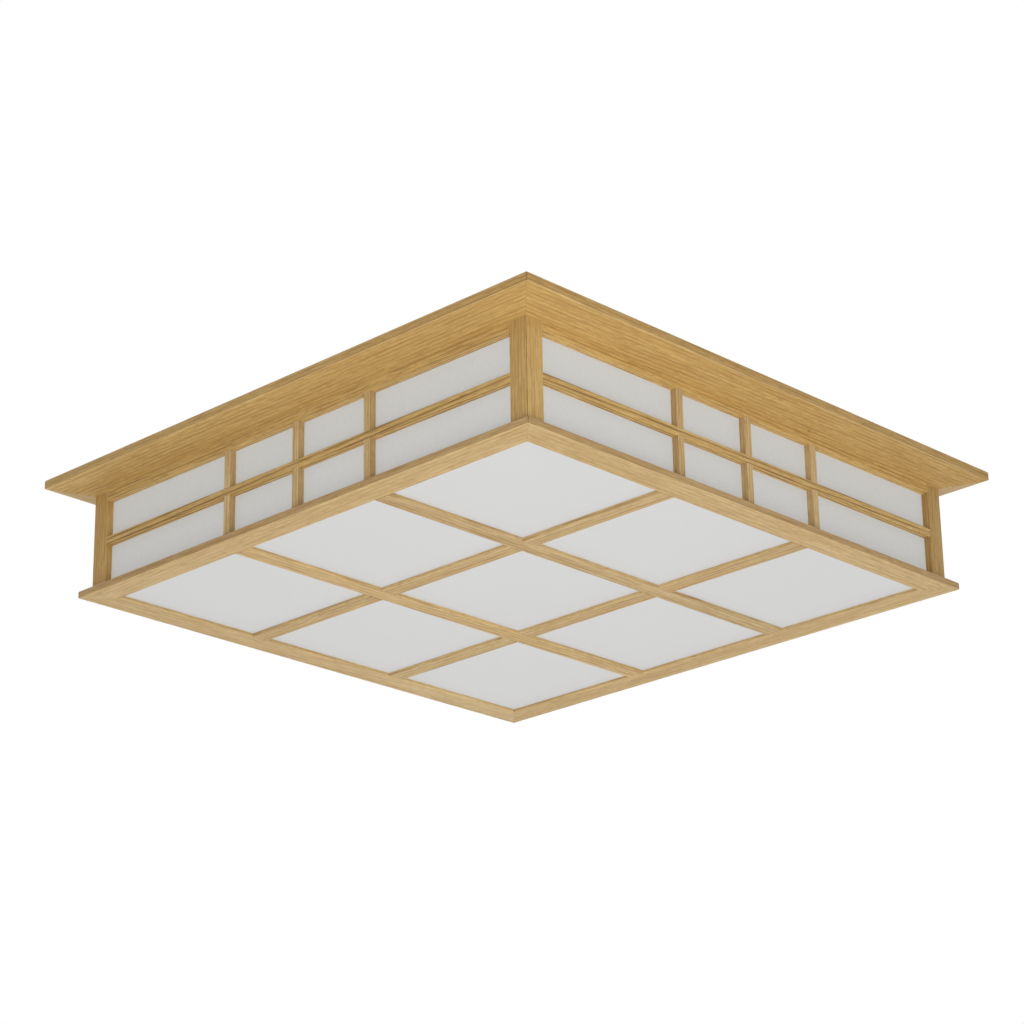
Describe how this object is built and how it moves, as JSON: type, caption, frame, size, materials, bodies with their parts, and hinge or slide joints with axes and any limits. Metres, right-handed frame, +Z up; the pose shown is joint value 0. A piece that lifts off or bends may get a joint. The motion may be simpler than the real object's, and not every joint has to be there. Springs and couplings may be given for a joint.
{
  "type": "flush mount ceiling light",
  "caption": "Square wooden lantern ceiling light with a mitred eave, paper lattice walls and a drop-down lattice door with a white diffuser.",
  "frame": {"origin": "centre of the four ceiling screw slots, in the ceiling plane on top of the light", "axes": "+Z up into the ceiling, +Y towards the hinged back side, +X to the right seen from the front"},
  "size_m": [0.55, 0.55, 0.1036],
  "materials": {
    "wood": "light clear-coated softwood with fine straight grain",
    "paper": "white laminated paper",
    "diffuser": "opal white, satin",
    "plate": "white powder coat",
    "steel": "zinc plated",
    "rubber": "matt",
    "light_board": "white solder mask",
    "lens": "clear moulded",
    "white_plastic": "matt white",
    "wire": "white insulation",
    "brass": "plain brass",
    "magnet": "nickel plated"
  },
  "bodies": {
    "lantern": {"eave_board_front": "wood", "top_rail_front": "wood", "bottom_rail_front": "wood", "cross_muntin_front": "wood", "upright_muntins_front": "wood", "paper_front": "paper", "eave_board_right": "wood", "top_rail_right": "wood", "bottom_rail_right": "wood", "cross_muntin_right": "wood", "upright_muntins_right": "wood", "paper_right": "paper", "eave_board_back": "wood", "top_rail_back": "wood", "bottom_rail_back": "wood", "cross_muntin_back": "wood", "upright_muntins_back": "wood", "paper_back": "paper", "eave_board_left": "wood", "top_rail_left": "wood", "bottom_rail_left": "wood", "cross_muntin_left": "wood", "upright_muntins_left": "wood", "paper_left": "paper", "post_front_right": "wood", "post_back_right": "wood", "post_back_left": "wood", "post_front_left": "wood", "corner_blocks": "wood", "ceiling_plate": "plate", "plate_screws": "steel", "gear_screws": "steel", "cable_grommet": "rubber", "led_board_1": "light_board", "led_board_2": "light_board", "led_board_3": "light_board", "led_board_4": "light_board", "led_lenses": "lens", "driver_case": "white_plastic", "terminal_block": "white_plastic", "wire_saddles": "white_plastic", "wires": "wire", "hinge_leaves_fixed": "brass", "hinge_pins": "brass", "hinge_screws_fixed": "brass", "catch_magnets": "magnet"},
    "door": {"door_rail_front": "wood", "door_rail_right": "wood", "door_rail_back": "wood", "door_rail_left": "wood", "door_bar_across_front": "wood", "door_bar_across_back": "wood", "door_bar_along_left": "wood", "door_bar_along_right": "wood", "door_diffuser": "diffuser", "panel_clips": "steel", "hinge_leaves_door": "brass", "hinge_screws_door": "brass", "strike_screws": "steel"}
  },
  "joints": [
    {"name": "door_hinge", "type": "hinge", "parent": "lantern", "child": "door", "pos_m": [0, 0.2482, -0.09725], "axis": [1, 0, 0], "range_deg": [0, 90]}
  ]
}
